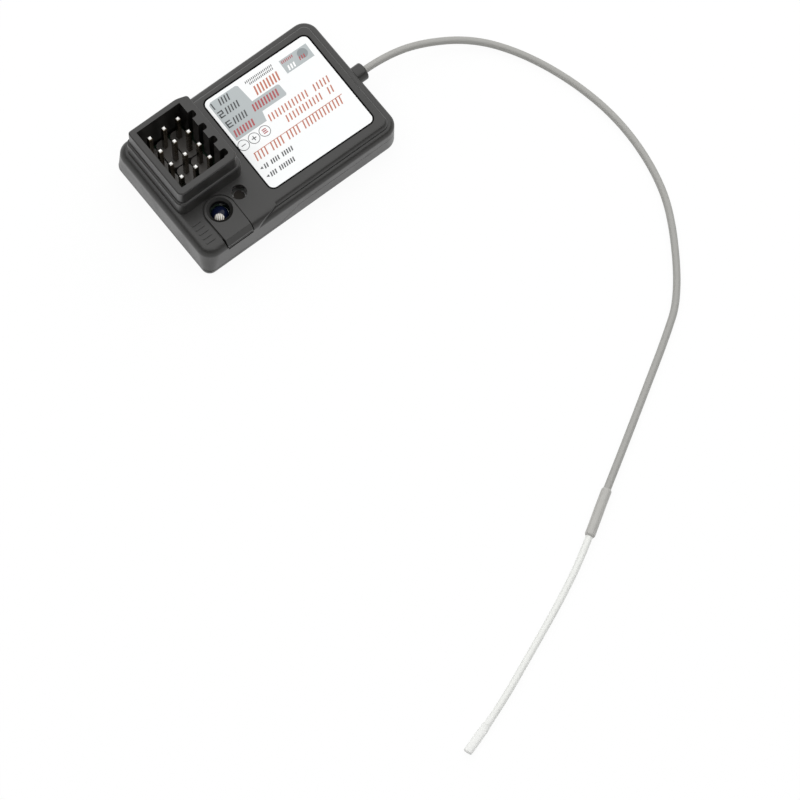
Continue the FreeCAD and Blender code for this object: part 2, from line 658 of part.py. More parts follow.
def route_edges():
    """The cable's way as straight runs joined by tangent arcs, each as large as its two runs allow."""
    points = [Vector(GLAND_END, CABLE_SIDE_SHIFT, CABLE_Z)] + [Vector(*p) for p in ROUTE]
    edges = []
    last = points[0]
    radii = []
    for before, corner, after in zip(points, points[1:], points[2:]):
        back = before - corner
        ahead = after - corner
        reach = BEND_SHARE * min(back.Length, ahead.Length)
        turn = math.pi - back.getAngle(ahead)
        radius = reach / math.tan(turn / 2)
        radii.append(radius)
        back.normalize()
        ahead.normalize()
        start = corner + back * reach
        end = corner + ahead * reach
        inward = (back + ahead).normalize()
        middle = corner + inward * (radius / math.cos(turn / 2) - radius)
        edges += [Part.LineSegment(last, start).toShape(), Part.Arc(start, middle, end).toShape()]
        last = end
    edges.append(Part.LineSegment(last, points[-1]).toShape())
    print("bend radii", [round(r, 1) for r in radii])
    return edges


def stretch(edges, start, end):
    """The piece of a chain of edges between two lengths along it."""
    found = []
    gone = 0.0
    for edge in edges:
        low = max(start - gone, 0.0)
        high = min(end - gone, edge.Length)
        if high - low > CLOSE:
            first = edge.getParameterByLength(low)
            last = edge.getParameterByLength(high)
            found.append(edge.Curve.toShape(first, last))
        gone += edge.Length
    return Part.Wire(found)


def sweep(wire, outline):
    """A solid along a wire from an outline that starts in the YZ plane at the origin."""
    first = wire.OrderedEdges[0]
    begin = wire.OrderedVertexes[0].Point
    way = first.tangentAt(first.FirstParameter)
    placed = outline.copy()
    placed.Placement = FreeCAD.Placement(begin, facing(way))
    return wire.makePipeShell([placed], True, False)


def facing(way):
    """The turn that takes +X to a direction and keeps +Y level."""
    level = UP.cross(way).normalize()
    up = way.cross(level).normalize()
    return FreeCAD.Rotation(way, level, up, "XYZ")


def round_outline(diameter):
    """A circle in the YZ plane at the origin."""
    return Part.Wire(Part.makeCircle(diameter / 2, Vector(), Vector(1, 0, 0)))


def flat_outline(width, thickness):
    """A flat shape with round ends in the YZ plane at the origin."""
    half = (width - thickness) / 2
    rise = thickness / 2
    return Part.Wire([
        Part.LineSegment(Vector(0, -half, -rise), Vector(0, half, -rise)).toShape(),
        Part.Arc(Vector(0, half, -rise), Vector(0, half + rise, 0), Vector(0, half, rise)).toShape(),
        Part.LineSegment(Vector(0, half, rise), Vector(0, -half, rise)).toShape(),
        Part.Arc(Vector(0, -half, rise), Vector(0, -half - rise, 0), Vector(0, -half, -rise)).toShape(),
    ])


def aerial():
    """The free cable, the stripped element, the sleeve over their joint and the clear tip, on one route."""
    edges = route_edges()
    total = sum(edge.Length for edge in edges)
    joint = SLEEVE_START + SLEEVE_LENGTH / 2
    tip_start = total - TIP_LENGTH
    coax = sweep(stretch(edges, 0, joint), round_outline(CABLE_DIAMETER))
    element = sweep(stretch(edges, joint, tip_start + TIP_OVERLAP), round_outline(ELEMENT_DIAMETER))
    sleeve = sweep(stretch(edges, SLEEVE_START, SLEEVE_START + SLEEVE_LENGTH), round_outline(SLEEVE_DIAMETER))
    sleeve = sleeve.cut(coax).cut(element)
    tip = sweep(stretch(edges, tip_start, total), flat_outline(TIP_WIDTH, TIP_THICKNESS)).cut(element)
    section = math.pi * (CABLE_DIAMETER / 2) ** 2
    print("route", round(total, 2), "volume", round(coax.Volume, 3), "section", round(section * joint, 3))
    return {"antenna_coax": coax, "antenna_element": element, "joint_sleeve": sleeve, "tip_sleeve": tip}


def build():
    """Every piece of the receiver by its name."""
    pieces = {
        "upper_shell": upper_shell(),
        "lower_cover": lower_cover(),
        "label_sticker": label_sticker(),
        "circuit_board": circuit_board(),
        "solder_joints": solder_joints(),
        "led_lamp": led_lamp(),
        "led_leads": led_leads(),
        "key_case": key_case(),
        "key_cover": key_cover(),
        "key_plunger": key_plunger(),
        "key_dome": key_dome(),
        "key_terminals": key_terminals(),
        "radio_chip": board_part(RADIO_CHIP, RADIO_CHIP_PLACE, 1),
        "controller_chip": board_part(CONTROLLER_CHIP, CONTROLLER_CHIP_PLACE, -1),
        "crystal_can": board_part(CRYSTAL, CRYSTAL_PLACE, 1),
        "voltage_regulator": board_part(REGULATOR, REGULATOR_PLACE, 1),
        "bulk_capacitor": board_part(BULK_CAPACITOR, BULK_CAPACITOR_PLACE, 1),
        "chip_capacitors": part_row(CAPACITOR_COUNT, CAPACITOR_PLACE, 1),
        "chip_resistors": part_row(RESISTOR_COUNT, RESISTOR_PLACE, -1),
        "filter_coils": part_row(COIL_COUNT, COIL_PLACE, -1),
        "coax_inside": straight_cable(CABLE_DIAMETER, JACKET_END, GLAND_END),
        "coax_braid": straight_cable(BRAID_DIAMETER, BRAID_END, JACKET_END),
        "coax_core": straight_cable(CORE_DIAMETER, BRAID_END - CORE_LENGTH, BRAID_END),
        "aerial_solder": aerial_solder(),
    }
    for wire, name in enumerate(("minus", "plus", "signal")):
        for pair in range(CHANNELS // BLOCK_ROWS):
            pieces[f"header_{name}_{pair + 1}"] = header_block(wire, pair)
        for row in range(CHANNELS):
            pieces[f"pin_{row + 1}_{name}"] = contact_pin(row, wire)
    pieces.update(aerial())
    return pieces


os.makedirs("parts", exist_ok=True)
for name, shape in build().items():
    print(name, "solids", len(shape.Solids), "valid", shape.isValid(), "volume", round(shape.Volume, 3))
    shape.exportStep(f"parts/{name}.step")
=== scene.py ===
"""Dresses the radio receiver: its camera and light, the aerial cord, the print on its label and every finish.

Lengths are written in millimetres and turned into metres where a mesh is made.
"""

import json
import logging
import math
from dataclasses import dataclass
from enum import Enum

import bmesh
import bpy
import numpy as np
from mathutils import Matrix, Vector


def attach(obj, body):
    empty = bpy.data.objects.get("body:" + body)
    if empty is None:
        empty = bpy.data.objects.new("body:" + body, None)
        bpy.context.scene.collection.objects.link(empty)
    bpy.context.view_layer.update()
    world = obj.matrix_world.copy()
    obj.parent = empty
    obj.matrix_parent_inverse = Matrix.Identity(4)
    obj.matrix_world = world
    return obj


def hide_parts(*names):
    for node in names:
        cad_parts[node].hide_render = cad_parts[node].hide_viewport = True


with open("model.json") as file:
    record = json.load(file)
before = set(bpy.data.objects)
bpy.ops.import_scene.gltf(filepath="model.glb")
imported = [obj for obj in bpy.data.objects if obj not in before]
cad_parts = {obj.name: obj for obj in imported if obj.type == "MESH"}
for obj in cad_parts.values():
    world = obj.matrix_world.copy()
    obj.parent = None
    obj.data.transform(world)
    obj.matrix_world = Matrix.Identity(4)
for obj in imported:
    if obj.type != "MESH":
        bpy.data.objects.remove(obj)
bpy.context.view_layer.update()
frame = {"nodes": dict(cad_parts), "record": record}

log = logging.getLogger("receiver")
MM = 0.001
ROOT = "receiver"
LAMP_AXIS = (-11.61, -6.2)


class Ink(Enum):
    """The printing inks of the label."""

    GREY = "print_grey"
    ORANGE = "print_orange"
    DARK = "print_dark"
    RED = "print_red"
    WHITE = "print_white"
    SLATE = "print_slate"


# Stage


@dataclass
class PhotoCamera:
    """The camera that took the photograph, by its direction, roll, distance and lens."""

    azimuth: float = -39.869
    elevation: float = 69.239
    roll: float = 1.947
    distance: float = 679.471
    lens: float = 212.03
    sensor: float = 36.0
    clip: tuple[float, float] = (0.01, 20.0)
    target: tuple[float, float] = (-7.457, -43.365)

    def build(self) -> bpy.types.Object:
        """Makes the camera and gives it to the scene.

        Returns:
            The camera's object.
        """
        az, el, roll = (math.radians(v) for v in (self.azimuth, self.elevation, self.roll))
        back = Vector((math.sin(az) * math.cos(el), -math.cos(az) * math.cos(el), math.sin(el)))
        level = Vector((math.cos(az), math.sin(az), 0.0))
        upright = back.cross(level)
        right = math.cos(roll) * level + math.sin(roll) * upright
        up = math.cos(roll) * upright - math.sin(roll) * level
        data = bpy.data.cameras.new("photo_camera")
        data.lens = self.lens
        data.sensor_width = self.sensor
        data.clip_start, data.clip_end = self.clip
        camera = bpy.data.objects.new("photo_camera", data)
        turn = Matrix((right, up, back)).transposed().to_4x4()
        eye = Vector((self.target[0], self.target[1], 0.0)) * MM + back * self.distance * MM
        camera.matrix_world = Matrix.Translation(eye) @ turn
        bpy.context.scene.collection.objects.link(camera)
        bpy.context.scene.camera = camera
        return camera


@dataclass
class Studio:
    """A plain white sweep under one very large soft lamp behind the object, with a little light from all round."""

    floor_radius: float = 8000.0
    floor_rim: float = 2600.0
    floor_sides: int = 64
    floor_drop: float = 0.05
    floor_white: float = 0.93
    floor_body: tuple[float, float, float] = (0.9, 0.9, 0.9)
    key_azimuth: float = 140.0
    key_elevation: float = 70.0
    key_distance: float = 1000.0
    key_size: float = 2400.0
    key_power: float = 27.0
    fill_strength: float = 0.25

    def build(self) -> None:
        """Makes the floor, the world and the lamp."""
        self.floor()
        self.world()
        self.key_lamp()

    def floor(self) -> bpy.types.Object:
        """Makes the sweep, a round table top whose rim stands up as a low white wall.

        Returns:
            The floor's object.
        """
        turn = np.linspace(0.0, 2.0 * math.pi, self.floor_sides, endpoint=False)
        circle = np.column_stack([np.cos(turn), np.sin(turn)]) * self.floor_radius
        level = [np.column_stack([circle, np.full(self.floor_sides, height)])
                 for height in (-self.floor_drop, self.floor_rim)]
        ring = np.arange(self.floor_sides)
        after = np.roll(ring, -1)
        wall = np.stack([after, ring, ring + self.floor_sides, after + self.floor_sides], axis=-1)
        mesh = bpy.data.meshes.new("floor")
        mesh.from_pydata((np.concatenate(level) * MM).tolist(), [], [ring.tolist()] + wall.tolist())
        floor = bpy.data.objects.new("floor", mesh)
        bpy.context.scene.collection.objects.link(floor)
        mesh.materials.append(self.floor_material())
        return floor

    def floor_material(self) -> bpy.types.Material:
        """Makes the floor's white, which keeps a faint shadow and is white to the camera and in reflections.

        Returns:
            The material.
        """
        material = bpy.data.materials.new("floor_white")
        material.use_nodes = True
        sheet = NodeSheet(material.node_tree)
        sheet.clear()
        path = sheet.add("ShaderNodeLightPath")
        diffuse = sheet.add("ShaderNodeBsdfDiffuse", Color=(*self.floor_body, 1.0))
        glow = sheet.add("ShaderNodeEmission", Color=(1.0, 1.0, 1.0, 1.0), Strength=1.0)
        seen = sheet.math("MAXIMUM", path.outputs["Is Camera Ray"], path.outputs["Is Glossy Ray"])
        seen = sheet.math("MAXIMUM", seen, path.outputs["Is Transmission Ray"])
        share = sheet.math("MULTIPLY", seen, self.floor_white)
        blend = sheet.add("ShaderNodeMixShader")
        sheet.join(share, blend.inputs[0])
        sheet.join(diffuse.outputs[0], blend.inputs[1])
        sheet.join(glow.outputs[0], blend.inputs[2])
        output = sheet.add("ShaderNodeOutputMaterial")
        sheet.join(blend.outputs[0], output.inputs["Surface"])
        return material

    def world(self) -> None:
        """Makes the weak light from all round."""
        world = bpy.data.worlds.new("soft_room")
        world.use_nodes = True
        bpy.context.scene.world = world
        light = world.node_tree.nodes["Background"]
        light.inputs["Color"].default_value = (1.0, 1.0, 1.0, 1.0)
        light.inputs["Strength"].default_value = self.fill_strength

    def key_lamp(self) -> bpy.types.Object:
        """Makes the large soft lamp.

        Returns:
            The lamp's object.
        """
        az, el = math.radians(self.key_azimuth), math.radians(self.key_elevation)
        way = Vector((math.sin(az) * math.cos(el), -math.cos(az) * math.cos(el), math.sin(el)))
        data = bpy.data.lights.new("key_lamp", "AREA")
        data.shape = "SQUARE"
        data.size = self.key_size * MM
        data.energy = self.key_power
        lamp = bpy.data.objects.new("key_lamp", data)
        turn = way.to_track_quat("Z", "Y").to_matrix().to_4x4()
        lamp.matrix_world = Matrix.Translation(way * self.key_distance * MM) @ turn
        bpy.context.scene.collection.objects.link(lamp)
        return lamp


# Node trees


class NodeSheet:
    """A node tree with short calls to add nodes and join them."""

    def __init__(self, tree: bpy.types.NodeTree) -> None:
        """Args:
            tree: the node tree to write into.
        """
        self.tree = tree

    def clear(self) -> None:
        """Removes every node."""
        self.tree.nodes.clear()

    def add(self, kind: str, settings: dict | None = None, **values: object) -> bpy.types.Node:
        """Adds a node.

        Args:
            kind: Blender's name of the node's type.
            settings: the node's own options by name.
            values: values of its input sockets, with spaces in their names written as underscores.

        Returns:
            The new node.
        """
        node = self.tree.nodes.new(kind)
        for name, value in (settings or {}).items():
            setattr(node, name, value)
        for name, value in values.items():
            node.inputs[name.replace("_", " ")].default_value = value
        return node

    def join(self, source: bpy.types.NodeSocket, target: bpy.types.NodeSocket) -> None:
        """Joins an output socket to an input socket."""
        self.tree.links.new(source, target)

    def feed(self, socket: bpy.types.NodeSocket, value: object) -> None:
        """Joins an input socket to another socket, or sets it to a number.

        Args:
            socket: the input socket.
            value: the socket to read, or the number.
        """
        if isinstance(value, bpy.types.NodeSocket):
            self.join(value, socket)
        else:
            socket.default_value = value

    def math(self, operation: str, *values: object) -> bpy.types.NodeSocket:
        """Adds a Math node.

        Args:
            operation: the name of its operation.
            values: sockets or numbers, in the order of its inputs.

        Returns:
            Its output socket.
        """
        node = self.add("ShaderNodeMath", {"operation": operation})
        for socket, value in zip(node.inputs, values):
            self.feed(socket, value)
        return node.outputs[0]

    def mix(self, share: object, first: object, second: object, blend: str = "MIX") -> bpy.types.NodeSocket:
        """Adds a colour mix. The node's colour inputs are its sockets 6 and 7, and its colour output is socket 2.

        Args:
            share: how much of the second colour, as a socket or a number.
            first: the first colour, as a socket or four numbers.
            second: the second colour, as a socket or four numbers.
            blend: how the two are put together.

        Returns:
            The mixed colour's socket.
        """
        node = self.add("ShaderNodeMix", {"data_type": "RGBA", "blend_type": blend})
        self.feed(node.inputs[0], share)
        self.feed(node.inputs[6], first)
        self.feed(node.inputs[7], second)
        return node.outputs[2]

    def noise(self, vector: bpy.types.NodeSocket, scale: object, detail: float = 2.0) -> bpy.types.NodeSocket:
        """Adds a noise pattern.

        Args:
            vector: where the pattern is read.
            scale: its scale, as a socket or a number.
            detail: how many finer layers it has.

        Returns:
            The noise's value, about 0.5 on average.
        """
        node = self.add("ShaderNodeTexNoise", Detail=detail)
        self.join(vector, node.inputs["Vector"])
        self.feed(node.inputs["Scale"], scale)
        return node.outputs["Fac"]

    def ramp(self, value: bpy.types.NodeSocket, low: float, high: float) -> bpy.types.NodeSocket:
        """Adds a smooth step from 0 at the low value to 1 at the high one.

        Args:
            value: the socket to read.
            low: where the step starts.
            high: where it ends.

        Returns:
            The step's socket.
        """
        node = self.add("ShaderNodeMapRange", {"interpolation_type": "SMOOTHSTEP"})
        self.join(value, node.inputs["Value"])
        node.inputs["From Min"].default_value = low
        node.inputs["From Max"].default_value = high
        return node.outputs["Result"]


def new_group(name: str, inputs: dict[str, object],
              outputs: dict[str, str]) -> tuple[bpy.types.NodeTree, NodeSheet, bpy.types.Node, bpy.types.Node]:
    """Starts a shader node group.

    Args:
        name: the group's name.
        inputs: its inputs' names and default values; four numbers make a colour, one a float, None a vector.
        outputs: its outputs' names and socket types.

    Returns:
        The tree, its sheet, and its input and output nodes.
    """
    tree = bpy.data.node_groups.new(name, "ShaderNodeTree")
    for label, value in inputs.items():
        kind = "NodeSocketVector" if value is None else "NodeSocketFloat"
        kind = "NodeSocketColor" if isinstance(value, tuple) else kind
        socket = tree.interface.new_socket(name=label, in_out="INPUT", socket_type=kind)
        if value is not None:
            socket.default_value = value
    for label, kind in outputs.items():
        tree.interface.new_socket(name=label, in_out="OUTPUT", socket_type=kind)
    sheet = NodeSheet(tree)
    return tree, sheet, sheet.add("NodeGroupInput"), sheet.add("NodeGroupOutput")


def moulded_grain_group(gloss_swing: float = 0.12, broad_share: float = 0.05) -> bpy.types.NodeTree:
    """Builds the skin of a moulded or cast surface: colour mottle, uneven gloss and a fine grain.

    Colour value = colour x (1 + mottle x (2 n1 - 1)), roughness = roughness + swing x (n2 - 0.5), height = n2,
    where n1 is a broad noise and n2 a fine one.

    Args:
        gloss_swing: how far the roughness swings.
        broad_share: the broad noise's scale as a share of the fine one's.

    Returns:
        The node group.
    """
    tree, sheet, source, target = new_group(
        "moulded_grain",
        {"Vector": None, "Colour": (0.5, 0.5, 0.5, 1.0), "Roughness": 0.5, "Scale": 4000.0, "Mottle": 0.1},
        {"Colour": "NodeSocketColor", "Roughness": "NodeSocketFloat", "Height": "NodeSocketFloat"})
    fine = sheet.noise(source.outputs["Vector"], source.outputs["Scale"], 3.0)
    broad_scale = sheet.math("MULTIPLY", source.outputs["Scale"], broad_share)
    broad = sheet.noise(source.outputs["Vector"], broad_scale, 4.0)
    swing = sheet.math("MULTIPLY_ADD", broad, 2.0, -1.0)
    value = sheet.math("MULTIPLY_ADD", swing, source.outputs["Mottle"], 1.0)
    tone = sheet.add("ShaderNodeHueSaturation")
    sheet.join(source.outputs["Colour"], tone.inputs["Color"])
    sheet.join(value, tone.inputs["Value"])
    lift = sheet.math("MULTIPLY_ADD", fine, gloss_swing, -gloss_swing / 2)
    sheet.join(tone.outputs[0], target.inputs["Colour"])
    sheet.join(sheet.math("ADD", source.outputs["Roughness"], lift), target.inputs["Roughness"])
    sheet.join(fine, target.inputs["Height"])
    return tree


def handling_group(smear_scale: float = 220.0, smear_step: tuple[float, float] = (0.45, 0.7),
                   hair_scale: tuple[float, float, float] = (60.0, 2600.0, 2600.0), hair_turn: float = 0.6,
                   hair_width: float = 0.008) -> bpy.types.NodeTree:
    """Builds the marks of handling: soft smears and sparse hair scratches that only change the gloss.

    Mark = smear x (broad noise above its step) + scratch x (stretched noise close to 0.5).

    Args:
        smear_scale: the scale of the broad noise per metre.
        smear_step: the noise's values between which a smear sets in.
        hair_scale: the scale of the stretched noise per metre along each axis.
        hair_turn: how far the scratches are turned, in radians.
        hair_width: how close to 0.5 the stretched noise makes a scratch.

    Returns:
        The node group.
    """
    tree, sheet, source, target = new_group(
        "handling_marks", {"Vector": None, "Smear": 0.08, "Scratch": 0.1}, {"Mark": "NodeSocketFloat"})
    broad = sheet.noise(source.outputs["Vector"], smear_scale, 3.0)
    smear = sheet.math("MULTIPLY", sheet.ramp(broad, *smear_step), source.outputs["Smear"])
    stretch = sheet.add("ShaderNodeMapping")
    sheet.join(source.outputs["Vector"], stretch.inputs["Vector"])
    stretch.inputs["Rotation"].default_value = (0.0, 0.0, hair_turn)
    stretch.inputs["Scale"].default_value = hair_scale
    line = sheet.noise(stretch.outputs[0], 1.0, 1.0)
    near = sheet.math("ABSOLUTE", sheet.math("SUBTRACT", line, 0.5))
    hair = sheet.math("SUBTRACT", 1.0, sheet.ramp(near, 0.0, hair_width))
    scratch = sheet.math("MULTIPLY", hair, source.outputs["Scratch"])
    sheet.join(sheet.math("ADD", smear, scratch), target.inputs["Mark"])
    return tree


# Finishes


@dataclass(frozen=True)
class Finish:
    """A solid finish: a colour with a fine skin, and how it shines.

    Scale is the grain's scale per metre, mottle its change of colour, relief the grain's depth in millimetres.
    """

    name: str
    colour: tuple[float, float, float]
    roughness: float
    scale: float = 5000.0
    mottle: float = 0.08
    relief: float = 0.004
    metallic: float = 0.0
    specular: float = 0.5
    smear: float = 0.05
    scratch: float = 0.06

    def build(self, groups: dict[str, bpy.types.NodeTree]) -> bpy.types.Material:
        """Makes the material.

        Args:
            groups: the node groups by name.

        Returns:
            The material.
        """
        material = bpy.data.materials.new(self.name)
        material.use_nodes = True
        sheet = NodeSheet(material.node_tree)
        sheet.clear()
        place = sheet.add("ShaderNodeTexCoord").outputs["Object"]
        skin = sheet.add("ShaderNodeGroup", {"node_tree": groups["moulded_grain"]})
        sheet.join(place, skin.inputs["Vector"])
        sheet.feed(skin.inputs["Colour"], self.tint(sheet, place))
        skin.inputs["Roughness"].default_value = self.roughness
        skin.inputs["Scale"].default_value = self.scale
        skin.inputs["Mottle"].default_value = self.mottle
        marks = sheet.add("ShaderNodeGroup", {"node_tree": groups["handling_marks"]}, Smear=self.smear,
                          Scratch=self.scratch)
        sheet.join(place, marks.inputs["Vector"])
        shader = sheet.add("ShaderNodeBsdfPrincipled", Metallic=self.metallic, Specular_IOR_Level=self.specular)
        bump = sheet.add("ShaderNodeBump", Strength=1.0, Distance=self.relief * MM)
        sheet.join(skin.outputs["Height"], bump.inputs["Height"])
        sheet.join(bump.outputs[0], shader.inputs["Normal"])
        sheet.join(skin.outputs["Colour"], shader.inputs["Base Color"])
        sheet.join(sheet.math("ADD", skin.outputs["Roughness"], marks.outputs["Mark"]), shader.inputs["Roughness"])
        self.extras(sheet, shader)
        output = sheet.add("ShaderNodeOutputMaterial")
        sheet.join(shader.outputs[0], output.inputs["Surface"])
        return material

    def tint(self, sheet: NodeSheet, place: bpy.types.NodeSocket) -> object:
        """Returns the colour before its mottle, as four numbers or a socket."""
        return (*self.colour, 1.0)

    def extras(self, sheet: NodeSheet, shader: bpy.types.Node) -> None:
        """Sets what a plain finish doesn't have."""


@dataclass(frozen=True)
class GiltPin(Finish):
    """Thin gilt plating, with painted shade darkening it towards the foot of the pin and a cut tip painted near white,
    partly its bare metal and partly a painted highlight.
    """

    tip_height: float = 11.6
    tip_blend: float = 0.04
    tip_metal: float = 0.1
    foot_height: float = 6.5
    # painted highlight at the tip and painted shade at the foot
    tip: tuple[float, float, float] = (1.0, 0.99, 0.96)
    foot_shade: tuple[float, float, float] = (0.1, 0.075, 0.045)

    def tint(self, sheet: NodeSheet, place: bpy.types.NodeSocket) -> object:
        """Works out the colour: painted shade from the foot up the shank below the tip, and above it the cut, painted
        near white as its bare metal with a painted highlight.

        Args:
            sheet: the material's nodes.
            place: the point on the pin.

        Returns:
            The colour's socket.
        """
        split = sheet.add("ShaderNodeSeparateXYZ")
        sheet.join(place, split.inputs[0])
        rise = sheet.ramp(split.outputs["Z"], self.foot_height * MM, self.tip_height * MM)
        shank = sheet.mix(rise, (*self.foot_shade, 1.0), (*self.colour, 1.0))
        return sheet.mix(self.cut(sheet, split.outputs["Z"]), shank, (*self.tip, 1.0))

    def cut(self, sheet: NodeSheet, height: bpy.types.NodeSocket) -> bpy.types.NodeSocket:
        """Returns the mask of the cut tip, by height."""
        return sheet.ramp(height, self.tip_height * MM, (self.tip_height + self.tip_blend) * MM)

    def extras(self, sheet: NodeSheet, shader: bpy.types.Node) -> None:
        """Makes the cut tip less like a mirror than the plating, so that its near white shows as a painted highlight.

        Args:
            sheet: the material's nodes.
            shader: the material's shader.
        """
        split = sheet.add("ShaderNodeSeparateXYZ")
        sheet.join(sheet.add("ShaderNodeTexCoord").outputs["Object"], split.inputs[0])
        bare = self.cut(sheet, split.outputs["Z"])
        sheet.join(sheet.math("MULTIPLY_ADD", bare, self.tip_metal - 1.0, 1.0), shader.inputs["Metallic"])


@dataclass(frozen=True)
class ClearFilm(Finish):
    """A thin clear or tinted resin that lets some light through."""

    clear: float = 0.3
    bend: float = 1.5

    def extras(self, sheet: NodeSheet, shader: bpy.types.Node) -> None:
        """Lets light through."""
        shader.inputs["Transmission Weight"].default_value = self.clear
        shader.inputs["IOR"].default_value = self.bend


@dataclass(frozen=True)
class LampResin(ClearFilm):
    """Dark tinted resin with a patch of pale and brown stripes on its near side, the lead frame seen through it, whose
    pale stripes are a painted reflection.

    The patch's middle is measured from the lamp's axis in millimetres, across and along the line from the
    housing's near corner to its far one. The two steps are where its oval fades out and where its stripes turn pale.
    """

    middle: tuple[float, float] = (0.05, -0.78)
    half: tuple[float, float] = (0.74, 0.52)
    oval_step: tuple[float, float] = (0.75, 1.1)
    stripe: float = 0.27
    stripe_step: tuple[float, float] = (-0.9, -0.2)
    glint_pale: tuple[float, float, float] = (1.0, 0.99, 0.95)
    brown: tuple[float, float, float] = (0.24, 0.16, 0.08)

    def tint(self, sheet: NodeSheet, place: bpy.types.NodeSocket) -> object:
        """Works out the resin's colour, with stripes of sin(2 pi across / stripe) inside an oval, the pale ones a
        painted reflection.

        Args:
            sheet: the material's nodes.
            place: the point on the lamp.

        Returns:
            The colour's socket.
        """
        split = sheet.add("ShaderNodeSeparateXYZ")
        sheet.join(place, split.inputs[0])
        diagonal = math.sqrt(0.5) / MM
        x, y = (sheet.math("MULTIPLY_ADD", split.outputs[name], diagonal, -axis * math.sqrt(0.5))
                for name, axis in zip("XY", LAMP_AXIS))
        across, along = sheet.math("SUBTRACT", x, y), sheet.math("ADD", x, y)
        squares = []
        for way, middle, half in zip((across, along), self.middle, self.half):
            share = sheet.math("ABSOLUTE", sheet.math("MULTIPLY_ADD", way, 1.0 / half, -middle / half))
            squares.append(sheet.math("POWER", share, 2.0))
        oval = sheet.math("SUBTRACT", 1.0, sheet.ramp(sheet.math("ADD", *squares), *self.oval_step))
        wave = sheet.math("SINE", sheet.math("MULTIPLY", across, 2.0 * math.pi / self.stripe))
        stripes = sheet.mix(sheet.ramp(wave, *self.stripe_step), (*self.brown, 1.0), (*self.glint_pale, 1.0))
        return sheet.mix(oval, (*self.colour, 1.0), stripes)


FINISHES: dict[str, Finish] = {f.name: f for f in (
    Finish("housing_plastic", (0.020, 0.0194, 0.0182), 0.33, 7000.0, 0.07, 0.004, specular=0.5),
    Finish("label_film", (0.84, 0.85, 0.85), 0.38, 3000.0, 0.012, 0.001, scratch=0.03),
    Finish("board_laminate", (0.01, 0.05, 0.022), 0.4, 2500.0, 0.15, 0.004),
    Finish("solder", (0.62, 0.63, 0.64), 0.28, 2500.0, 0.1, 0.01, metallic=1.0),
    # the resin's pale striped patch is a painted reflection on the lamp's near side
    LampResin("lamp_resin", (0.005, 0.008, 0.028), 0.12, 2000.0, 0.1, 0.0005, specular=0.2, clear=0.05, smear=0.02,
              scratch=0.0),
    Finish("tinned_metal", (0.7, 0.7, 0.69), 0.32, 3000.0, 0.08, 0.002, metallic=1.0),
    Finish("key_plastic", (0.03, 0.03, 0.03), 0.5),
    Finish("button_plastic", (0.022, 0.019, 0.016), 0.45, 6000.0, 0.08, 0.004, specular=0.12),
    Finish("chip_resin", (0.03, 0.03, 0.032), 0.6, 8000.0, 0.1, 0.006),
    Finish("capacitor_body", (0.42, 0.3, 0.2), 0.45, 5000.0, 0.1),
    Finish("resistor_body", (0.03, 0.03, 0.035), 0.3, 5000.0, 0.1),
    Finish("coil_body", (0.45, 0.47, 0.5), 0.5, 5000.0, 0.1),
    Finish("coax_jacket", (0.33, 0.327, 0.31), 0.36, 2600.0, 0.03, 0.001, specular=0.45),
    Finish("copper_wire", (0.75, 0.5, 0.35), 0.3, 3000.0, 0.1, 0.002, metallic=1.0),
    Finish("element_jacket", (0.74, 0.748, 0.722), 0.36, 900.0, 0.008, 0.0004, smear=0.03, scratch=0.0),
    Finish("sleeve_film", (0.40, 0.395, 0.375), 0.3, 1800.0, 0.05, 0.004),
    ClearFilm("clear_sleeve", (0.80, 0.805, 0.785), 0.3, 900.0, 0.01, 0.001, specular=0.4, clear=0.06, scratch=0.0),
    Finish("insulator_plastic", (0.095, 0.088, 0.08), 0.4, 5000.0, 0.08, 0.003),
    # the pins carry painted shade towards their foot and a painted highlight on their tips
    GiltPin("pin_metal", (0.2, 0.155, 0.09), 0.25, 3000.0, 0.1, 0.002, metallic=1.0),
    # painted shade: darker than the housing, for the ring in the lamp's step and hole
    Finish("lamp_well_painted_shade", (0.010, 0.0096, 0.009), 0.4, 6000.0, 0.1, 0.002, specular=0.22),
    # painted shade: a near-black matte finish for the band that darkens the label's gap
    Finish("gap_painted_shade", (0.006, 0.006, 0.006), 0.9, 6000.0, 0.1, 0.002, specular=0.0),
    Finish(Ink.GREY.value, (0.405, 0.438, 0.445), 0.4, 4000.0, 0.02, 0.001),
    Finish(Ink.ORANGE.value, (0.47, 0.145, 0.085), 0.4, 4000.0, 0.05, 0.001),
    Finish(Ink.DARK.value, (0.045, 0.047, 0.05), 0.4, 4000.0, 0.05, 0.001),
    Finish(Ink.RED.value, (0.37, 0.065, 0.07), 0.4, 4000.0, 0.05, 0.001),
    Finish(Ink.SLATE.value, (0.23, 0.255, 0.265), 0.4, 4000.0, 0.02, 0.001),
    Finish(Ink.WHITE.value, (0.9, 0.9, 0.9), 0.4, 4000.0, 0.02, 0.001),
)}


class FinishShelf:
    """Every material of the receiver, made once and handed out by name."""

    def __init__(self) -> None:
        """Builds the shared node groups and all the materials."""
        groups = {"moulded_grain": moulded_grain_group(), "handling_marks": handling_group()}
        self.materials = {name: finish.build(groups) for name, finish in FINISHES.items()}

    def give(self, piece: bpy.types.Object, name: str) -> None:
        """Gives a piece one material.

        Args:
            piece: the piece.
            name: the finish's name.
        """
        if not piece.material_slots:
            piece.data.materials.append(self.materials[name])
        for slot in piece.material_slots:
            slot.material = self.materials[name]


# Meshes


def link_piece(name: str, mesh: bpy.types.Mesh, body: str = ROOT) -> bpy.types.Object:
    """Makes an object of a mesh, at the origin, riding on a body.

    Args:
        name: the piece's name.
        mesh: its mesh, in metres in the receiver's frame.
        body: the body that it rides on.

    Returns:
        The object.
    """
    piece = bpy.data.objects.new(name, mesh)
    bpy.context.scene.collection.objects.link(piece)
    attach(piece, body)
    return piece


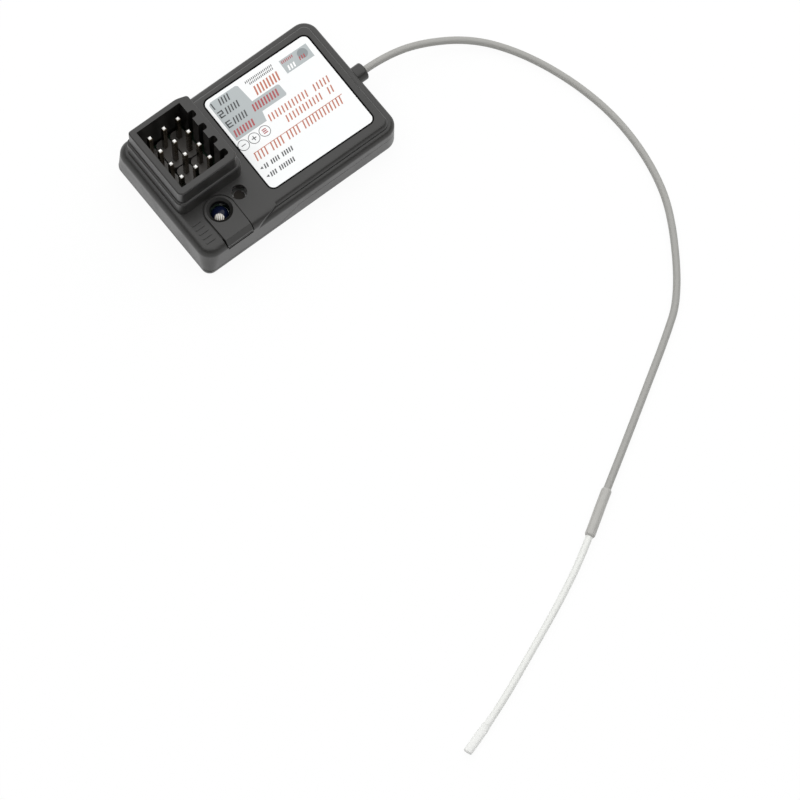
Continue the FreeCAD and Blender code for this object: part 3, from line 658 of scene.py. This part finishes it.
def grid_mesh(name: str, grid: np.ndarray, band: bool = False) -> bpy.types.Mesh:
    """Makes a closed mesh of a grid of points whose rows are rings.

    Args:
        name: the mesh's name.
        grid: points in metres, shaped (rings, sides, 3).
        band: whether the last ring joins the first one. Otherwise the first and the last ring are poles.

    Returns:
        The mesh with outward normals, smooth where it has poles.
    """
    rings, sides = grid.shape[:2]
    index = np.arange(rings * sides).reshape(rings, sides)
    near, far = (index, np.roll(index, -1, axis=0)) if band else (index[:-1], index[1:])
    quads = np.stack([near, np.roll(near, -1, axis=1), np.roll(far, -1, axis=1), far], axis=-1).reshape(-1, 4)
    mesh = bpy.data.meshes.new(name)
    mesh.from_pydata(grid.reshape(-1, 3).tolist(), [], quads.tolist())
    tidy = bmesh.new()
    tidy.from_mesh(mesh)
    if not band:
        bmesh.ops.remove_doubles(tidy, verts=tidy.verts, dist=1e-7)
    bmesh.ops.recalc_face_normals(tidy, faces=tidy.faces)
    tidy.to_mesh(mesh)
    tidy.free()
    if not band:
        mesh.shade_smooth()
    return mesh


def plate_mesh(name: str, outlines: list[np.ndarray], low: float, high: float) -> bpy.types.Mesh:
    """Makes thin flat plates, each an outline with a top, an underside and an edge.

    Args:
        name: the mesh's name.
        outlines: each plate's corners, anticlockwise, shaped (corners, 2), in millimetres.
        low: height of the undersides, in millimetres.
        high: height of the tops.

    Returns:
        The mesh.
    """
    points: list[np.ndarray] = []
    faces: list[list[int]] = []
    start = 0
    for outline in outlines:
        count = len(outline)
        level = [np.column_stack([outline, np.full(count, height)]) for height in (low, high)]
        points += level
        ring = np.arange(count)
        turn = np.roll(ring, -1)
        faces.append((start + ring[::-1]).tolist())
        faces.append((start + count + ring).tolist())
        faces += (start + np.stack([ring, turn, turn + count, ring + count], axis=-1)).tolist()
        start += 2 * count
    mesh = bpy.data.meshes.new(name)
    mesh.from_pydata((np.concatenate(points) * MM).tolist(), [], faces)
    mesh.update()
    return mesh


# Aerial


@dataclass
class Aerial:
    """The aerial: a grey cable, the sleeve over its joint, the white element and the flattened clear tip.

    The routes are the cable's way in millimetres, and they meet where the cable's screen ends. Ends, waist, press and
    corner are shares of a piece's length or radius, and gaps are the film's clearance over what it grips.
    """

    cable_diameter: float = 1.13
    element_diameter: float = 1.05
    sleeve_radius: float = 0.775
    sleeve_length: float = 7.7
    sleeve_end: float = 0.045
    sleeve_waist: float = 0.035
    sleeve_gap: float = 0.02
    sleeve_rings: int = 90
    tip_length: float = 6.2
    tip_width: float = 1.35
    tip_thickness: float = 0.8
    tip_gap: float = 0.03
    tip_press: tuple[float, float] = (0.1, 0.25)
    tip_ends: tuple[float, float] = (0.01, 0.03)
    tip_corner: tuple[float, float] = (0.2, 0.4)
    tip_rings: int = 70
    smoothness: int = 24
    roundness: int = 6
    spline_order: int = 3
    cable_route: tuple[tuple[float, float, float], ...] = (
        (19.6, -0.1, 3.1), (23.0, -0.1, 3.1), (28.9, -1.5, 2.85), (36.0, -5.1, 1.2), (40.7, -11.4, 0.59),
        (43.9, -20.1, 0.57), (45.2, -29.1, 0.57), (44.2, -38.2, 0.57), (41.5, -45.5, 0.57), (34.4, -55.7, 0.57),
        (28.5, -59.7, 0.57), (21.4, -64.0, 0.57), (13.7, -68.7, 0.67), (6.0, -73.3, 0.83), (4.1, -74.5, 0.83))
    element_route: tuple[tuple[float, float, float], ...] = (
        (4.1, -74.5, 0.83), (-1.4, -78.0, 0.82), (-8.7, -81.6, 0.65), (-16.7, -85.0, 0.56), (-25.0, -88.5, 0.55),
        (-28.10, -89.45, 0.54))
    tip_end: tuple[float, float, float] = (-32.7, -90.9, 0.52)

    def build(self, shelf: FinishShelf) -> None:
        """Makes the two cords, the sleeve and the tip.

        Args:
            shelf: the materials.
        """
        cable = self.cord("aerial_cable", self.cable_route, self.cable_diameter)
        element = self.cord("aerial_element", self.element_route, self.element_diameter)
        line = np.concatenate([self.centreline(self.cable_route), self.centreline(self.element_route)[1:]])
        joint = measure(self.centreline(self.cable_route))[-1]
        sleeve = self.sleeve(line, joint)
        tip = self.tip(np.concatenate([line, np.array([self.tip_end])]))
        for piece, finish, node in ((cable, "coax_jacket", "antenna_coax"), (sleeve, "sleeve_film", "joint_sleeve"),
                                    (element, "element_jacket", "antenna_element"),
                                    (tip, "clear_sleeve", "tip_sleeve")):
            shelf.give(piece, finish)
            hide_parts(node)
        length = measure(self.centreline(self.element_route))[-1]
        log.info("aerial cable %.2f mm and element %.2f mm", joint, length)

    def curve(self, name: str, route: tuple[tuple[float, float, float], ...]) -> bpy.types.Curve:
        """Makes a curve of one smooth spline with the route's points as its control points.

        Args:
            name: the curve's name.
            route: the points in millimetres.

        Returns:
            The curve, with no bevel.
        """
        curve = bpy.data.curves.new(name, "CURVE")
        curve.dimensions = "3D"
        curve.resolution_u = self.smoothness
        spline = curve.splines.new("NURBS")
        spline.points.add(len(route) - 1)
        points = np.column_stack([np.array(route) * MM, np.ones(len(route))])
        spline.points.foreach_set("co", points.ravel())
        spline.order_u = self.spline_order
        spline.use_endpoint_u = True
        return curve

    def cord(self, name: str, route: tuple[tuple[float, float, float], ...], diameter: float) -> bpy.types.Object:
        """Makes a round cord along a route.

        Args:
            name: the cord's name.
            route: the points in millimetres.
            diameter: its diameter in millimetres.

        Returns:
            The cord's object.
        """
        curve = self.curve(name, route)
        radii = np.full(len(route), diameter / 2 * MM)
        curve.splines[0].points.foreach_set("radius", radii)
        curve.bevel_depth = 1.0
        curve.bevel_resolution = self.roundness
        curve.use_fill_caps = True
        cord = bpy.data.objects.new(name, curve)
        bpy.context.scene.collection.objects.link(cord)
        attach(cord, ROOT)
        return cord

    def centreline(self, route: tuple[tuple[float, float, float], ...]) -> np.ndarray:
        """Reads the points of a route's smooth line.

        Args:
            route: the route's points in millimetres.

        Returns:
            The line's points in millimetres, shaped (points, 3).
        """
        holder = bpy.data.objects.new("line", self.curve("line", route))
        bpy.context.scene.collection.objects.link(holder)
        mesh = bpy.data.meshes.new_from_object(holder.evaluated_get(bpy.context.evaluated_depsgraph_get()))
        points = np.empty(len(mesh.vertices) * 3)
        mesh.vertices.foreach_get("co", points)
        bpy.data.meshes.remove(mesh)
        curve = holder.data
        bpy.data.objects.remove(holder)
        bpy.data.curves.remove(curve)
        return points.reshape(-1, 3) / MM

    def sleeve(self, line: np.ndarray, joint: float) -> bpy.types.Object:
        """Makes the shrunk sleeve over the joint.

        Its radius is r(t) = r0 + (R - r0) s(t) (1 - w (1 - cos(4 pi t)) / 2), where t runs from 0 to 1 along it, R is
        the sleeve's radius, r0 is just above the cable's, w is its two waists' depth, and s rises from 0 to 1 over
        each end as a quarter of a sine wave.

        Args:
            line: the aerial's centreline in millimetres.
            joint: how far along it the joint lies.

        Returns:
            The sleeve's object.
        """
        t = np.concatenate([[0.0], np.linspace(0.0, 1.0, self.sleeve_rings), [1.0]])
        end = np.clip(np.minimum(t, 1.0 - t) / self.sleeve_end, 0.0, 1.0)
        rise = np.sin(end * math.pi / 2)
        core = self.cable_diameter / 2 + self.sleeve_gap
        swell = 1.0 - self.sleeve_waist * (1.0 - np.cos(4.0 * math.pi * t)) / 2
        radius = core + (self.sleeve_radius - core) * rise * swell
        radius[[0, -1]] = 0.0
        along = joint - self.sleeve_length / 2 + t * self.sleeve_length
        grid = tube_grid(line, along, radius, radius)
        return link_piece("aerial_sleeve", grid_mesh("aerial_sleeve", grid))

    def tip(self, line: np.ndarray) -> bpy.types.Object:
        """Makes the clear tip, round where it grips the element and pinched flat beyond it.

        Half the width goes from just above the element's radius to half the tip's width, and half the height from
        there to half the tip's thickness, both by a smooth step within the first third. Both shrink a little at the
        two ends, by the square root of how near the end is.

        Args:
            line: the aerial's centreline in millimetres, out to the tip's end.

        Returns:
            The tip's object.
        """
        total = measure(line)[-1]
        t = np.concatenate([[0.0], np.linspace(0.0, 1.0, self.tip_rings), [1.0]])
        flat = smooth_step((t - self.tip_press[0]) / self.tip_press[1])
        grip = self.element_diameter / 2 + self.tip_gap
        wide = grip + (self.tip_width / 2 - grip) * flat
        high = grip + (self.tip_thickness / 2 - grip) * flat
        end = np.sqrt(np.clip(np.minimum(t / self.tip_ends[0], (1.0 - t) / self.tip_ends[1]), 0.0, 1.0))
        wide *= 1.0 - self.tip_corner[0] * (1.0 - end)
        high *= 1.0 - self.tip_corner[1] * (1.0 - end)
        wide[[0, -1]] = 0.0
        high[[0, -1]] = 0.0
        grid = tube_grid(line, total - self.tip_length + t * self.tip_length, wide, high)
        return link_piece("aerial_tip", grid_mesh("aerial_tip", grid))


def measure(line: np.ndarray) -> np.ndarray:
    """Returns how far along a line each of its points lies."""
    return np.concatenate([[0.0], np.cumsum(np.linalg.norm(np.diff(line, axis=0), axis=1))])


def smooth_step(value: np.ndarray) -> np.ndarray:
    """Returns 3x^2 - 2x^3 with x held between 0 and 1."""
    held = np.clip(value, 0.0, 1.0)
    return held * held * (3.0 - 2.0 * held)


def tube_grid(line: np.ndarray, along: np.ndarray, wide: np.ndarray, high: np.ndarray, sides: int = 32,
              step: float = 0.4) -> np.ndarray:
    """Carries an oval along a line: P(s, a) = C(s) + wide(s) cos(a) B(s) + high(s) sin(a) N(s).

    Args:
        line: the line's points in millimetres.
        along: how far along it each ring lies.
        wide: each ring's half width.
        high: each ring's half height.
        sides: points round a ring.
        step: how far ahead and behind the line's direction is read, in millimetres.

    Returns:
        The rings' points in metres, shaped (rings, sides, 3).
    """
    reach = measure(line)
    behind, centre, ahead = (np.column_stack([np.interp(along + shift, reach, line[:, axis]) for axis in range(3)])
                             for shift in (-step, 0.0, step))
    way = ahead - behind
    way /= np.linalg.norm(way, axis=1, keepdims=True)
    side = np.cross([0.0, 0.0, 1.0], way)
    side /= np.linalg.norm(side, axis=1, keepdims=True)
    up = np.cross(way, side)
    angle = np.linspace(0.0, 2.0 * math.pi, sides, endpoint=False)
    ring = (centre[:, None] + (wide[:, None] * np.cos(angle))[..., None] * side[:, None]
            + (high[:, None] * np.sin(angle))[..., None] * up[:, None])
    return ring * MM


# Label


@dataclass(frozen=True)
class HatchRow:
    """A row of slanted strokes that stands for a word: its two ends, its middle, and its strokes' measures."""

    left: float
    right: float
    middle: float
    height: float
    pitch: float
    stroke: float


HATCHES: dict[Ink, tuple[HatchRow, ...]] = {
    Ink.ORANGE: (
        HatchRow(-8.2, -5.7, -3.05, 1.3, 0.6, 0.21), HatchRow(-5.3, -2.9, -3.05, 1.3, 0.6, 0.21),
        HatchRow(-2.4, -0.3, -3.05, 1.3, 0.6, 0.21), HatchRow(0.5, 2.6, -3.05, 1.3, 0.6, 0.21),
        HatchRow(2.9, 7.5, -3.05, 1.3, 0.6, 0.21), HatchRow(-0.9, 5.7, -0.8, 1.15, 0.6, 0.21),
        HatchRow(6.6, 7.5, -0.8, 1.15, 0.6, 0.21), HatchRow(-2.9, 4.4, 0.82, 1.15, 0.6, 0.21),
        HatchRow(5.2, 8.3, 0.82, 1.15, 0.6, 0.21), HatchRow(-1.95, 2.3, 5.57, 1.5, 0.56, 0.26)),
    Ink.RED: (
        HatchRow(-3.85, 0.85, 3.5, 1.2, 0.52, 0.28), HatchRow(-8.45, -4.9, 1.75, 1.15, 0.52, 0.28),
        HatchRow(3.8, 5.9, 6.9, 0.45, 0.3, 0.14), HatchRow(6.3, 7.5, 5.9, 0.6, 0.4, 0.2)),
    Ink.DARK: (
        HatchRow(-7.3, -5.5, 7.2, 1.1, 0.5, 0.22), HatchRow(-7.3, -4.9, 5.5, 1.1, 0.5, 0.22),
        HatchRow(-7.3, -4.8, 3.55, 1.1, 0.5, 0.22), HatchRow(-1.95, 2.4, 6.98, 0.36, 0.29, 0.13),
        HatchRow(-2.4, 2.6, 7.5, 0.36, 0.29, 0.13), HatchRow(-8.0, -7.2, -4.95, 0.74, 0.4, 0.2),
        HatchRow(-6.8, -5.2, -4.95, 0.74, 0.4, 0.2), HatchRow(-4.8, -2.7, -4.95, 0.74, 0.4, 0.2),
        HatchRow(-8.0, -6.9, -6.5, 0.74, 0.4, 0.2), HatchRow(-6.4, -3.8, -6.5, 0.74, 0.4, 0.2)),
    Ink.WHITE: (HatchRow(4.1, 5.6, 5.62, 0.8, 0.48, 0.26),),
}


@dataclass
class LabelPrint:
    """The label's print, in plain fields, hatched rows, numerals and polarity rings, and a dark band of painted shade
    in the gap round it.

    Places are in the label's own frame in millimetres: u along the housing and v across it. A bar is given as its two
    ends along u, its middle across v and its height.
    """

    centre: tuple[float, float] = (5.86, 0.17)
    turn: float = -1.1
    low: float = 6.568
    high: float = 6.58
    lifts: tuple[float, float, float] = (0.0, 0.003, 0.006)
    slant: float = 0.22
    label_half: tuple[float, float] = (9.4, 8.65)
    label_corner: float = 1.0
    recess_heights: tuple[float, float] = (6.455, 6.582)
    recess_edges: tuple[float, float] = (-0.08, 0.175)
    grey_fields: tuple[tuple[tuple[float, float], ...], ...] = (
        ((-8.85, 0.72), (-3.45, 0.72), (-3.05, 2.35), (1.3, 2.35), (1.5, 2.6), (1.45, 4.3), (1.2, 4.5), (-3.3, 4.5),
         (-3.55, 7.7), (-3.85, 7.98), (-8.4, 7.98), (-8.8, 7.6)),
        ((3.5, 4.98), (8.4, 4.98), (8.5, 7.35), (3.6, 7.35)))
    disc: tuple[float, float, float] = (7.2, 6.35, 0.82)
    disc_sides: int = 32
    fine_line: tuple[float, float, float, float] = (-8.1, 7.9, -2.36, 0.1)
    numerals: tuple[tuple[int, float], ...] = ((1, 7.2), (2, 5.5), (3, 3.55))
    numeral_left: float = -8.55
    numeral_size: tuple[float, float] = (0.85, 1.15)
    numeral_stroke: float = 0.2
    pointers: tuple[float, ...] = (-4.92, -6.47)
    pointer_ends: tuple[float, float] = (-8.75, -8.3)
    pointer_half: float = 0.22
    rings_middle: float = -0.42
    rings_along: tuple[float, ...] = (-8.45, -6.56, -4.63)
    ring_radii: tuple[float, float] = (0.81, 0.9)
    ring_pieces: int = 24
    polarity: tuple[tuple[float, float, float], ...] = (
        (-8.8, -8.1, 0.12), (-6.95, -6.17, 0.13), (-6.625, -6.495, 0.78))
    third_mark: tuple[float, float, float] = (-4.98, -4.28, 0.16)
    third_mark_steps: tuple[float, ...] = (-0.3, 0.0, 0.3)

    def build(self, shelf: FinishShelf) -> None:
        """Makes the painted shade in the label's gap and one piece for each ink.

        Args:
            shelf: the materials.
        """
        # painted shade in the gap round the label
        self.gap_shade_line(shelf)
        plates = {ink: self.hatches(ink) for ink in Ink}
        plates[Ink.GREY] += [np.array(field) for field in self.grey_fields]
        plates[Ink.SLATE].append(self.circle(self.disc[:2], self.disc[2], self.disc_sides))
        plates[Ink.ORANGE].append(self.bar(*self.fine_line))
        plates[Ink.RED] += [self.bar(*self.third_mark[:2], self.rings_middle + step, self.third_mark[2])
                            for step in self.third_mark_steps]
        plates[Ink.DARK] += self.dark_signs()
        ground, middle, top = self.lifts
        for ink, outlines in plates.items():
            lift = {Ink.GREY: ground, Ink.SLATE: middle}.get(ink, top)
            mesh = plate_mesh(ink.value, [self.place(o) for o in outlines], self.low, self.high + lift)
            piece = link_piece(ink.value, mesh)
            shelf.give(piece, ink.value)
            log.info("%s has %d plates", ink.value, len(outlines))

    def gap_shade_line(self, shelf: FinishShelf) -> None:
        """Makes a dark band of painted shade that lines the narrow gap round the label.

        Args:
            shelf: the materials.
        """
        near, far = (self.place(self.outline(grow)) for grow in self.recess_edges)
        low, high = self.recess_heights
        loops = [(near, low), (near, high), (far, high), (far, low)]
        grid = np.stack([np.column_stack([loop, np.full(len(loop), height)]) for loop, height in loops])
        piece = link_piece("gap_shade_line", grid_mesh("gap_shade_line", grid * MM, band=True))
        shelf.give(piece, "gap_painted_shade")

    def outline(self, grow: float, pieces: int = 12) -> np.ndarray:
        """Works out the label's rounded outline: each corner's centre plus r (cos a, sin a) over a quarter turn.

        Args:
            grow: how far the outline is grown outwards.
            pieces: how many straight pieces make a corner.

        Returns:
            The outline's points, anticlockwise.
        """
        angle = np.linspace(0.0, math.pi / 2, pieces + 1)
        radius = self.label_corner + grow
        reach = np.array(self.label_half) - self.label_corner
        corners = []
        for quarter, side in enumerate(((1, 1), (-1, 1), (-1, -1), (1, -1))):
            turn = angle + quarter * math.pi / 2
            corners.append(side * reach + radius * np.column_stack([np.cos(turn), np.sin(turn)]))
        return np.concatenate(corners)

    def place(self, outline: np.ndarray) -> np.ndarray:
        """Turns and moves an outline from the label's frame to the receiver's.

        Args:
            outline: the outline's points.

        Returns:
            The moved points.
        """
        angle = math.radians(self.turn)
        turn = np.array([[math.cos(angle), math.sin(angle)], [-math.sin(angle), math.cos(angle)]])
        return outline @ turn + np.array(self.centre)

    def bar(self, left: float, right: float, middle: float, height: float, slant: float = 0.0) -> np.ndarray:
        """Works out a bar's corners.

        Args:
            left: where it starts along the label.
            right: where it ends.
            middle: its middle across the label.
            height: its size across the label.
            slant: how far its top leans to the left, as a share of its height.

        Returns:
            The four corners, anticlockwise.
        """
        lean = slant * height / 2
        low, high = middle - height / 2, middle + height / 2
        return np.array([(left + lean, low), (right + lean, low), (right - lean, high), (left - lean, high)])

    def hatches(self, ink: Ink) -> list[np.ndarray]:
        """Works out every stroke of an ink's hatched rows.

        Args:
            ink: the ink.

        Returns:
            The strokes' outlines.
        """
        return [self.bar(start, start + row.stroke, row.middle, row.height, -self.slant)
                for row in HATCHES.get(ink, ()) for start in np.arange(row.left, row.right - row.stroke, row.pitch)]

    def numeral(self, digit: int, middle: float) -> list[np.ndarray]:
        """Works out a plain numeral of straight strokes, read from the tower's far side.

        Args:
            digit: 1, 2 or 3.
            middle: its middle across the label.

        Returns:
            The strokes' outlines.
        """
        (width, height), stroke = self.numeral_size, self.numeral_stroke
        left, right = self.numeral_left, self.numeral_left + width
        rim = (height - stroke) / 2
        flats = [self.bar(left, right, middle + shift, stroke) for shift in (-rim, 0.0, rim) if digit > 1]
        near, far = (left, left + stroke), (right - stroke, right)
        stems = (near, far if digit == 2 else near)
        return flats + [self.bar(*ends, middle + side * height / 4, height / 2) for ends, side in zip(stems, (-1, 1))]

    def dark_signs(self) -> list[np.ndarray]:
        """Works out the channel numerals, the pointers, the rings and their minus and plus.

        Returns:
            Their outlines.
        """
        signs = [plate for digit, middle in self.numerals for plate in self.numeral(digit, middle)]
        tip, back = self.pointer_ends
        signs += [np.array([(tip, v), (back, v - self.pointer_half), (back, v + self.pointer_half)])
                  for v in self.pointers]
        signs += [plate for u in self.rings_along for plate in self.ring(u)]
        return signs + [self.bar(left, right, self.rings_middle, height) for left, right, height in self.polarity]

    def ring(self, along: float) -> list[np.ndarray]:
        """Works out a polarity ring as short plates between two circles.

        Args:
            along: its middle along the label.

        Returns:
            The plates' outlines.
        """
        inner, outer = (self.circle((along, self.rings_middle), radius, self.ring_pieces)
                        for radius in self.ring_radii)
        after = np.roll(np.arange(self.ring_pieces), -1)
        return list(np.stack([inner, outer, outer[after], inner[after]], axis=1))

    def circle(self, middle: tuple[float, float], radius: float, sides: int) -> np.ndarray:
        """Works out a circle's points, middle + r (cos a, sin a).

        Args:
            middle: its middle along and across the label.
            radius: its radius.
            sides: how many points it has.

        Returns:
            The points, anticlockwise.
        """
        turn = np.linspace(0.0, 2.0 * math.pi, sides, endpoint=False)
        return np.array(middle) + radius * np.column_stack([np.cos(turn), np.sin(turn)])


# Lamp


@dataclass
class LampWellShade:
    """A dark sloping ring of painted shade that lines the step and the hole round the lamp.

    Its section is a closed outline of (radius, height) points, carried round the lamp's axis.
    """

    sides: int = 72
    section: tuple[tuple[float, float], ...] = (
        (1.945, 6.87), (1.70, 6.74), (1.56, 6.66), (1.50, 6.56), (1.50, 6.05), (1.535, 6.05), (1.535, 6.655),
        (1.945, 6.655))

    def build(self, shelf: FinishShelf) -> None:
        """Makes the ring: P(k, a) = axis + r(k) (cos a, sin a), at height z(k).

        Args:
            shelf: the materials.
        """
        radius, height = np.array(self.section).T
        turn = np.linspace(0.0, 2.0 * math.pi, self.sides, endpoint=False)
        grid = np.stack([LAMP_AXIS[0] + np.outer(radius, np.cos(turn)), LAMP_AXIS[1] + np.outer(radius, np.sin(turn)),
                         np.repeat(height[:, None], self.sides, axis=1)], axis=-1)
        # the ring is painted shade laid over the housing's own step and hole
        shade_ring = link_piece("lamp_well_shade", grid_mesh("lamp_well_shade", grid * MM, band=True))
        shelf.give(shade_ring, "lamp_well_painted_shade")
        log.info("lamp bezel of %d faces", len(shade_ring.data.polygons))


# Carried-over solids


@dataclass
class Casework:
    """The receiver's own solids, each dressed in the finish of its material slot."""

    slots: dict[str, str]

    def build(self, shelf: FinishShelf) -> None:
        """Gives every solid its material.

        Args:
            shelf: the materials.
        """
        for name, piece in frame["nodes"].items():
            shelf.give(piece, self.slots[name])
            log.info("%s dressed as %s", name, self.slots[name])


def main() -> None:
    """Builds the camera, the finishes, the aerial, the stage, the solids' looks, the painted shade round the lamp and
    the print with the painted shade in its gap, in order.
    """
    logging.basicConfig(level=logging.INFO, format="%(name)s: %(message)s")
    bpy.context.scene.view_settings.view_transform = "Standard"
    PhotoCamera().build()
    shelf = FinishShelf()
    Aerial().build(shelf)
    Studio().build()
    Casework({row["node"]: row["material_slot"] for row in frame["record"]["subparts"]}).build(shelf)
    LampWellShade().build(shelf)
    LabelPrint().build(shelf)


if __name__ == "__main__":
    main()
